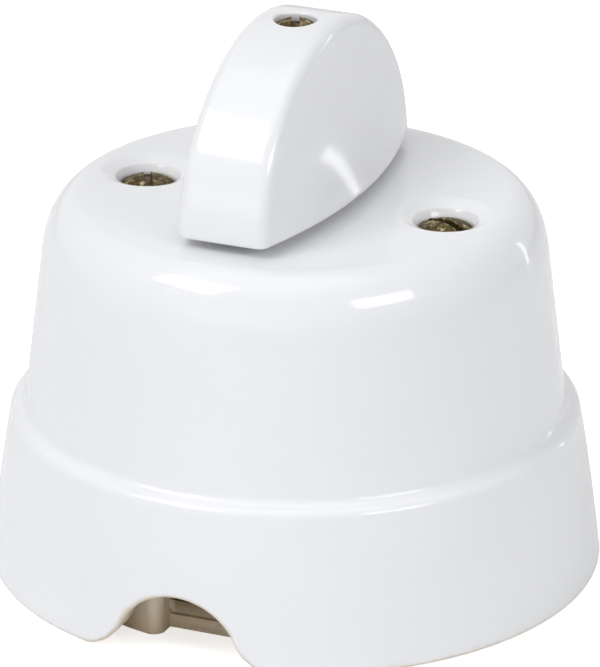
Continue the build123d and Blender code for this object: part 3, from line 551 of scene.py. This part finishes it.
def foot_outline(right, left, across):
    """Once round the foot: back along one flank, over the far end, forward along the other, over the near end.
    Points that lie on the one before them are left out."""
    inner = across[1:-1, None]
    far, near = [
        np.concatenate([end[0] * inner, inner * 0 + end[1], inner * 0 + end[2]], axis=1)
        for end in (right[-1, -1], right[0, -1])
    ]
    outline = np.concatenate(
        [right[:, 0], right[-1, 1:], far[::-1], left[-1, ::-1], left[::-1, 0], left[0, 1:], near, right[0, ::-1]]
    )
    return outline[np.linalg.norm(outline - np.roll(outline, 1, axis=0), axis=1) > 1e-4]


def build_knob():
    """Two sides, the strip between them in front of and behind the well, the well's patch and the foot."""
    front, middle, back = knob_turns()
    turn = np.concatenate([front, middle, back])
    right = soften_foot(knob_rows(turn))
    left = right * np.array([-1.0, 1.0, 1.0])
    faces = grid_faces(*right.shape[:2])
    patches = [(right * mm, faces), (left * mm, faces)]
    across = np.linspace(-1, 1, 15)
    for part in (slice(0, len(front) + 1), slice(len(turn) - len(back) - 1, len(turn))):
        strip = crown_strip(right[part, -1], across)
        patches.append((strip * mm, grid_faces(*strip.shape[:2])))
    rows = slice(len(front), len(front) + len(middle))
    crown = crown_patch(crown_ring(right[rows, -1, 1], right[rows, -1, 0], len(across)))
    patches.append((crown * mm, grid_faces(*crown.shape[:2], closed=True)))
    seat, high = crown[0], crown[0, 0, 2]
    low = high - knob_web
    outline = foot_outline(right, left, across)
    for rim, hole in ((seat, circle(knob_hole_r, high)), (outline, circle(socket_r, knob_foot))):
        patches.append((np.concatenate([rim, hole]) * mm, flat_faces(rim, [hole])))
    socket = [(socket_r, knob_foot), (socket_r, low), (knob_hole_r, low), (knob_hole_r, high)]
    patches.append(turned(socket, steps=32))
    return mesh_from("porcelain_knob", patches, weld=1e-4 * mm)


knob = build_knob()
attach(knob, "turning_group")
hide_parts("knob")

# %% [markdown]
# ## The slotted screws
# An oval-head screw is a shallow piece of a sphere on a straight rim, with a slot sawn across. Sawing it with a
# Boolean would do, but the two halves of the dome are easy to write down: each is a fan of lines from the slot's
# edge to the rim, and the slot's walls and floor follow from the same points.

# %% Sizes of the slotted screws, in millimetres
cover_screw_size = dict(head_r=2.85, rim_h=0.7, dome_h=0.8, shank_r=1.5, reach=10.1)
knob_screw_size = dict(head_r=2.0, rim_h=1.0, dome_h=0.7, shank_r=1.25, reach=10.8)
knob_washer_t = 0.4
seat_z = cover_h - well_deep
knob_seat_z = knob_foot + knob_h - knob_well_deep + knob_washer_t
slot_w, slot_floor_share = 0.8, 0.4
slot_wear, rim_wear = 0.1, 0.18
pushed_from, pushed_over, pushed_w, pushed_h = 0.72, 0.2, 0.22, 0.16
tip_chamfer = 0.3
print("screw seats at", round(seat_z, 2), "and", round(knob_seat_z, 2), "mm")


# %% One slotted screw, worked out from its sizes
def worn(distance, size):
    """What a quarter round of that size takes off at a distance from an edge."""
    near = np.clip(size - distance, 0, size)
    return size - np.sqrt(size**2 - near**2)


def at_height(line, height):
    """The same line of points, seen from above, at another height."""
    return np.concatenate([line[:, :2], np.full((len(line), 1), height)], axis=1)


def half_dome(head_r, rim_h, dome_h):
    """Half of a head's top, as lines from the slot's edge out to the rim. The dome is a sphere through its top and
    its rim. The edges are worn round, and at the slot's ends the corners stand up, where a screwdriver has pushed
    the metal."""
    sphere_r = (head_r**2 + dome_h**2) / (2 * dome_h)
    half_slot = slot_w / 2
    chord = math.sqrt(head_r**2 - half_slot**2)
    open_angle = math.acos(half_slot / head_r)
    fan = np.linspace(-1, 1, 41)[:, None]
    across = (0.5 * (1 - np.cos(np.linspace(0, np.pi, 21))))[None]
    rim_x, rim_y = head_r * np.cos(fan * open_angle), head_r * np.sin(fan * open_angle)
    x = half_slot + across * (rim_x - half_slot)
    y = fan * chord + across * (rim_y - fan * chord)
    r = np.hypot(x, y)
    z = rim_h + dome_h - sphere_r + np.sqrt(sphere_r**2 - r**2)
    z = z - worn(x - half_slot, slot_wear) - worn(head_r - r, rim_wear)
    near_end = np.clip((np.abs(y) / head_r - pushed_from) / pushed_over, 0, 1)
    z = z + pushed_h * near_end * np.exp(-(((x - half_slot) / pushed_w) ** 2))
    return np.stack([x, y, z], axis=-1)


def slotted_screw(place, slot_deg, head_r, rim_h, dome_h, shank_r, reach):
    """Patches of a screw whose seat is at place: the head's two halves, its rim, the slot's walls, floor and open
    ends, the ring it sits on, and the shank."""
    dome = half_dome(head_r, rim_h, dome_h)
    floor_z = (rim_h + dome_h) * slot_floor_share
    edge, slot_top = dome[:, -1], dome[:, 0]
    side = np.stack([edge, at_height(edge, floor_z), at_height(edge, 0.0)])
    wall = np.stack([slot_top, at_height(slot_top, floor_z)])
    half_turn = np.array([-1.0, -1.0, 1.0])
    floor = np.stack([wall[1], (wall[1] * half_turn)[::-1]])
    end = np.stack([floor[:, -1], at_height(floor[:, -1], 0.0)])
    shapes = [s * k for s in (dome, side, wall, end) for k in (1.0, half_turn)] + [floor]
    seat = np.concatenate([side[2], (side[2] * half_turn)])
    shank = [(shank_r, 0.0), (shank_r, tip_chamfer - reach), (shank_r - tip_chamfer, -reach), (0.0, -reach)]
    stem, stem_faces = turned(shank, steps=32)
    stem = stem / mm
    turn = math.radians(slot_deg - 90)
    spin = np.array([[math.cos(turn), math.sin(turn), 0], [-math.sin(turn), math.cos(turn), 0], [0, 0, 1]])
    under = np.concatenate([seat, stem[0]])
    flat = [(s, grid_faces(*s.shape[:2])) for s in shapes]
    flat += [(under, flat_faces(seat, [stem[0]])), (stem, stem_faces)]
    return [((points @ spin + np.array(place)) * mm, faces) for points, faces in flat]


# %% Build the three screws that show
cover_screws = mesh_from(
    "brass_cover_screws",
    [
        *slotted_screw((-screw_x, 0.0, seat_z), slot_deg=117.0, **cover_screw_size),
        *slotted_screw((screw_x, 0.0, seat_z), slot_deg=-20.0, **cover_screw_size),
    ],
    crease_deg=30.0,
)
knob_screw = mesh_from(
    "brass_knob_screw",
    slotted_screw((0.0, 0.0, knob_seat_z), slot_deg=113.0, **knob_screw_size),
    crease_deg=30.0,
)
for piece, body, node in (
    (cover_screws, "housing", "cover_screws"),
    (knob_screw, "turning_group", "knob_screw"),
):
    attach(piece, body)
    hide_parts(node)


# %% Mark the slots' floors, where dirt and painted shade darken them
def slot_dirt_and_shade(piece, axis_x, seat, size, near=0.05):
    """A point's value is 1 where it lies inside the head at the height of the slot's floor, and 0 elsewhere. The
    walls have points only at their foot and their top, so the darkening fades out upwards."""
    x, y, z = points_of(piece)
    floor_z = seat + (size["rim_h"] + size["dome_h"]) * slot_floor_share
    inside = np.hypot(np.abs(x) - axis_x, y) < size["head_r"] - near
    mark(piece, "slot_dirt_and_shade", inside & (np.abs(z - floor_z) < near))


slot_dirt_and_shade(cover_screws, screw_x, seat_z, cover_screw_size)
slot_dirt_and_shade(knob_screw, 0.0, knob_seat_z, knob_screw_size)

# %% [markdown]
# ## Finishes
# A finish is a small web of nodes. Patterns are read from Object coordinates, which stay with a piece when it turns
# and are in metres here, so a noise scale of 1000 means grains about a millimetre across.

# %% Helpers for finishes
def new_finish(name, **sockets):
    """A material whose Principled shader has the given plain values, and that shader."""
    material = bpy.data.materials.new(name)
    material.use_nodes = True
    shader = material.node_tree.nodes["Principled BSDF"]
    for socket, value in sockets.items():
        shader.inputs[socket.replace("_", " ")].default_value = value
    return material, shader


def node(material, kind, links=(), **values):
    """A node with its properties or sockets set by name, and its inputs linked from other nodes' outputs."""
    made = material.node_tree.nodes.new(kind)
    for name, value in values.items():
        if hasattr(made, name):
            setattr(made, name, value)
        else:
            made.inputs[name.replace("_", " ")].default_value = value
    for socket, source in links:
        material.node_tree.links.new(source, made.inputs[socket])
    return made


def place_of(material):
    """Object coordinates, one node for each material."""
    found = material.node_tree.nodes.get("Place") or node(material, "ShaderNodeTexCoord", name="Place")
    return found.outputs["Object"]


def grain(material, scale, detail=4.0, rough=0.55, stretch=(1.0, 1.0, 1.0)):
    """Noise between 0 and 1, with features of about 1000 / scale millimetres."""
    mapped = node(material, "ShaderNodeMapping", [("Vector", place_of(material))], Scale=stretch).outputs[0]
    made = node(material, "ShaderNodeTexNoise", [("Vector", mapped)], Scale=scale, Detail=detail, Roughness=rough)
    return made.outputs["Fac"]


def marked(material, name):
    """The value written under that name on the piece's points."""
    return node(material, "ShaderNodeAttribute", attribute_name=name).outputs["Fac"]


def combine(material, operation, *values):
    """The sum, product, greater value or the like of one or two outputs."""
    return node(material, "ShaderNodeMath", list(enumerate(values)), operation=operation).outputs[0]


def spread(material, source, low, high, to_low=0.0, to_high=1.0):
    """Stretches the part of a value between low and high to another range, and cuts off the rest."""
    made = node(
        material, "ShaderNodeMapRange", [("Value", source)],
        From_Min=low, From_Max=high, To_Min=to_low, To_Max=to_high,
    )
    return made.outputs["Result"]


def blend_colours(material, factor, first, second):
    """The first colour where the factor is 0 and the second where it is 1. Each may be a colour or an output."""
    made = node(material, "ShaderNodeMix", [("Factor", factor)], data_type="RGBA")
    for socket, colour in ((made.inputs[6], first), (made.inputs[7], second)):
        if isinstance(colour, tuple):
            socket.default_value = (*colour, 1.0)
        else:
            material.node_tree.links.new(colour, socket)
    return made.outputs[2]


def relief(material, height, depth, under=None):
    """A bump whose full height is depth millimetres, on top of another bump if one is given."""
    links = [("Height", height)] + ([("Normal", under)] if under else [])
    made = node(material, "ShaderNodeBump", links, Distance=depth * mm, Strength=1.0)
    return made.outputs["Normal"]


def wire(material, shader, **sources):
    """Joins outputs to the shader's sockets by name."""
    for socket, source in sources.items():
        material.node_tree.links.new(source, shader.inputs[socket.replace("_", " ")])


# %% [markdown]
# ### Glazed porcelain
# White porcelain is never one flat white. Its tone drifts a little from place to place, its surface swims slightly,
# so that a window's reflection has soft bent edges, and at the arrises the cream body shows.

# %% Porcelain finish
def porcelain_finish():
    """A smooth gloss of two near whites. Where thin_glaze is high, with a ragged border, the duller cream body
    takes its place."""
    material, shader = new_finish("glazed_porcelain", IOR=1.5, Roughness=0.1)
    cloud = grain(material, 38.0, detail=2.0)
    white = blend_colours(material, spread(material, cloud, 0.35, 0.65), (0.856, 0.86, 0.874), (0.873, 0.876, 0.887))
    ragged = spread(material, grain(material, 700.0, detail=3.0), 0.3, 0.7, -0.18, 0.18)
    bare = spread(material, combine(material, "ADD", marked(material, "thin_glaze"), ragged), 0.25, 0.95)
    mottle = spread(material, grain(material, 260.0), 0.3, 0.7)
    body = blend_colours(material, mottle, (0.66, 0.57, 0.44), (0.76, 0.69, 0.57))
    swim = relief(material, grain(material, 110.0, detail=1.5), 0.028)
    skin = relief(material, grain(material, 620.0, detail=2.0), 0.0018, under=swim)
    wire(
        material, shader,
        Base_Color=blend_colours(material, bare, white, body),
        Roughness=spread(material, bare, 0, 1, 0.09, 0.55),
        Normal=skin,
    )
    return material


porcelain = porcelain_finish()

# %% [markdown]
# ### Bare ceramic
# The base is pressed from a coarser body and left unglazed: beige, chalky and mottled, with dark pits, browner low
# down where dust has settled. High up inside its wire entry it is painted dark, a painted shadow of the cover's
# edge.

# %% Bare ceramic finish
dust_full, dust_gone = 0.5 * mm, 4.5 * mm
entry_inside, entry_edge = 3.4 * mm, 4.1 * mm
# Heights over which the painted shadow inside the wire entry grows.
shade_from, shade_full = 1.0 * mm, 2.8 * mm


def bare_ceramic_finish():
    """Matt, two scales of colour, dust low down, painted shade high up inside the wire entry, and a fine tooth."""
    material, shader = new_finish("bare_ceramic", Roughness=0.8, IOR=1.45)
    tone = spread(material, grain(material, 160.0, detail=6.0), 0.3, 0.72)
    body = blend_colours(material, tone, (0.84, 0.66, 0.45), (0.98, 0.9, 0.76))
    place = node(material, "ShaderNodeSeparateXYZ", [("Vector", place_of(material))])
    height = place.outputs["Z"]
    dust = spread(material, height, dust_full, dust_gone, 0.35, 0.0)
    body = blend_colours(material, dust, body, (0.6, 0.45, 0.29))
    across = combine(material, "ABSOLUTE", place.outputs["X"])
    in_entry = spread(material, across, entry_inside, entry_edge, 1.0, 0.0)
    # Painted shadow: the base darkens high up inside the wire entry, where the cover's edge shades it.
    high = spread(material, height, shade_from, shade_full, 0.1, 0.92)
    painted_shade = combine(material, "MULTIPLY", in_entry, high)
    body = blend_colours(material, painted_shade, body, (0.22, 0.16, 0.085))
    pits = spread(material, grain(material, 1500.0, detail=2.0), 0.62, 0.72)
    body = blend_colours(material, spread(material, pits, 0, 1, 0, 0.3), body, (0.33, 0.26, 0.17))
    tooth = relief(material, grain(material, 2400.0, detail=5.0), 0.03)
    wire(
        material, shader,
        Base_Color=body,
        Roughness=spread(material, tone, 0, 1, 0.9, 0.68),
        Normal=relief(material, pits, 0.02, under=tooth),
    )
    return material


bare_ceramic = bare_ceramic_finish()

# %% [markdown]
# ### Metals
# Old brass is a bright metal under a brown skin. The skin wears off in spots on the dome, so the colour and the
# roughness both follow the same patchy noise. New brass and zinc-plated steel inside the switch keep a fine turned
# or brushed grain.

# %% Aged brass finish
def aged_brass_finish():
    """Dark oxide with small rubbed spots of bright brass, dirt and painted shade in the slot, scratches and small
    dents.
    """
    material, shader = new_finish("aged_brass", Metallic=1.0, Roughness=0.4)
    patch = spread(material, grain(material, 1000.0, detail=7.0, rough=0.7), 0.5, 0.68)
    fine = spread(material, grain(material, 2600.0), 0.35, 0.65)
    dark = blend_colours(material, fine, (0.035, 0.024, 0.01), (0.13, 0.092, 0.04))
    rubbed = blend_colours(material, fine, (0.25, 0.185, 0.08), (0.72, 0.59, 0.33))
    dents = relief(material, grain(material, 1000.0, detail=3.0), 0.12)
    scratches = relief(material, grain(material, 900.0, detail=4.0, stretch=(1.0, 9.0, 1.0)), 0.02, under=dents)
    # Dirt and painted shade: the slot's floor is painted darker, as shade in the recess would make it.
    dirt_and_shade = spread(material, marked(material, "slot_dirt_and_shade"), 0, 1, 0, 0.7)
    metal = blend_colours(material, patch, dark, rubbed)
    wire(
        material, shader,
        Base_Color=blend_colours(material, dirt_and_shade, metal, (0.07, 0.048, 0.02)),
        Roughness=spread(material, patch, 0, 1, 0.6, 0.28),
        Normal=scratches,
    )
    return material


aged_brass = aged_brass_finish()


# %% Finishes of the pieces inside
def inner_metal(name, dull, bright, scale, stretch):
    """A metal between two tones, with a fine grain drawn out along one direction."""
    material, shader = new_finish(name, Metallic=1.0, Roughness=0.35)
    tone = spread(material, grain(material, scale, detail=5.0, stretch=stretch), 0.32, 0.68)
    wire(
        material, shader,
        Base_Color=blend_colours(material, tone, dull, bright),
        Roughness=spread(material, tone, 0, 1, 0.42, 0.26),
        Normal=relief(material, tone, 0.006),
    )
    return material


def resin_finish():
    """Dark brown moulded resin: mottled, half matt, with a faint orange-peel skin."""
    material, shader = new_finish("moulded_resin", Roughness=0.45, IOR=1.55)
    mottle = spread(material, grain(material, 240.0, detail=5.0), 0.3, 0.7)
    wire(
        material, shader,
        Base_Color=blend_colours(material, mottle, (0.085, 0.045, 0.028), (0.16, 0.095, 0.06)),
        Roughness=spread(material, mottle, 0, 1, 0.5, 0.36),
        Normal=relief(material, grain(material, 900.0), 0.01),
    )
    return material


turned_brass = inner_metal("turned_brass", (0.55, 0.4, 0.18), (0.8, 0.63, 0.34), 700.0, (1.0, 1.0, 8.0))
plated_steel = inner_metal("plated_steel", (0.5, 0.51, 0.52), (0.7, 0.71, 0.73), 500.0, (1.0, 6.0, 1.0))
resin = resin_finish()

# %% Give every piece its finish
finishes = {
    "glazed_porcelain": porcelain,
    "bare_ceramic": bare_ceramic,
    "aged_brass": aged_brass,
    "brass": turned_brass,
    "plated_steel": plated_steel,
    "moulded_resin": resin,
}
slot_of = {part["node"]: part["material_slot"] for part in frame["record"]["subparts"]}
for name, cad_node in nodes.items():
    cad_node.data.materials.clear()
    cad_node.data.materials.append(finishes[slot_of[name]])
for piece, finish in ((cover, porcelain), (knob, porcelain), (cover_screws, aged_brass), (knob_screw, aged_brass)):
    piece.data.materials.append(finish)
print("finishes on", len(nodes), "nodes and 4 new pieces")

# %% [markdown]
# ## Floor and light
# The switch lies on its back on a pale table. The floor keeps the soft shadow. The camera sees it lifted to white
# and a mirror-like reflection sees it lifted a little. Light that spreads from it is not lifted, so it never lights
# the porcelain from below more than a table would.

# %% What only direct and mirror-like rays see
def seen_directly(material):
    """1 for rays from the camera, off a mirror-like surface or through glass, and 0 for rays that spread light."""
    path = node(material, "ShaderNodeLightPath")
    seen = path.outputs["Is Camera Ray"]
    for other in ("Is Glossy Ray", "Is Transmission Ray"):
        seen = combine(material, "MAXIMUM", seen, path.outputs[other])
    return seen


# %% A white floor that keeps its shadow
floor_half, floor_drop = 3.0, 0.02 * mm
floor_white, floor_lift, camera_lift = 0.92, 0.15, 0.5


def build_floor():
    """One square, big enough to reach behind the object in every view, just below the switch. Its glow is
    floor_lift for reflections and the camera, and camera_lift more for the camera alone."""
    mesh = bpy.data.meshes.new("floor")
    corners = [(x * floor_half, y * floor_half, 0.0) for x, y in ((-1, -1), (1, -1), (1, 1), (-1, 1))]
    mesh.from_pydata(corners, [], [(0, 1, 2, 3)])
    floor = bpy.data.objects.new("floor", mesh)
    floor.location.z = -floor_drop
    bpy.context.scene.collection.objects.link(floor)
    material, shader = new_finish(
        "pale_floor",
        Roughness=0.9,
        Base_Color=(floor_white, floor_white, floor_white, 1.0),
        Specular_IOR_Level=0.0,
        Emission_Color=(1.0, 1.0, 1.0, 1.0),
    )
    reflected = spread(material, seen_directly(material), 0, 1, 0.0, floor_lift)
    from_camera = node(material, "ShaderNodeLightPath").outputs["Is Camera Ray"]
    extra = spread(material, from_camera, 0, 1, 0.0, camera_lift)
    wire(material, shader, Emission_Strength=combine(material, "ADD", reflected, extra))
    mesh.materials.append(material)
    print("floor", 2 * floor_half, "m wide")


build_floor()

# %% The room: soft even light from all round
ambient = 0.37
room = bpy.data.worlds.new("room")
bpy.context.scene.world = room
room.use_nodes = True
room_light = room.node_tree.nodes["Background"]
seen = seen_directly(room)
wire(
    room, room_light,
    Color=blend_colours(room, seen, (1.0, 1.0, 0.99), (1.0, 1.0, 1.0)),
    Strength=spread(room, seen, 0, 1, ambient, 1.0),
)
print("room light", ambient)

# %% [markdown]
# A gloss glaze shows its lights as shapes, so each light is a rectangle as large, and as far round and up, as the
# window it stands for. A thin one low behind draws the streak on the knob's flank. A wide dim one in front and one
# overhead show no shape, and only lift the skirt and the top.

# %% Windows: rectangles of light placed by the direction they come from
lamp_colour = (0.963, 0.972, 1.0)
aim_height = 0.03


def window(name, turn_deg, rise_deg, wide, high, brightness, distance=0.7):
    """An area light aimed at the switch, with sizes in metres. Turn 0 is in front of the notch and positive to the
    right, and rise is above the table. Its power is its brightness times its area times pi."""
    light = bpy.data.lights.new(name, "AREA")
    light.shape = "RECTANGLE"
    light.size, light.size_y = wide, high
    light.energy = brightness * wide * high * math.pi
    light.color = lamp_colour
    lamp = bpy.data.objects.new(name, light)
    turn, rise = math.radians(turn_deg), math.radians(rise_deg)
    lamp.location = (
        distance * math.sin(turn) * math.cos(rise),
        -distance * math.cos(turn) * math.cos(rise),
        distance * math.sin(rise) + aim_height,
    )
    lamp.rotation_euler = (math.pi / 2 - rise, 0.0, turn)
    bpy.context.scene.collection.objects.link(lamp)
    print(name, round(light.energy, 3), "W")


window("left_window", -37.0, 48.0, 0.35, 0.27, 6.0)
window("right_window", 65.0, 28.5, 0.33, 0.17, 5.9)
window("back_window", 146.0, 4.4, 0.013, 0.1, 3.4, 0.3)
window("front_reflector", 0.0, 9.0, 1.0, 0.3, 0.52, 1.0)
window("ceiling_light", -20.0, 80.0, 1.4, 1.4, 0.88, 1.5)

# %% Colours as written
bpy.context.scene.view_settings.view_transform = "Standard"
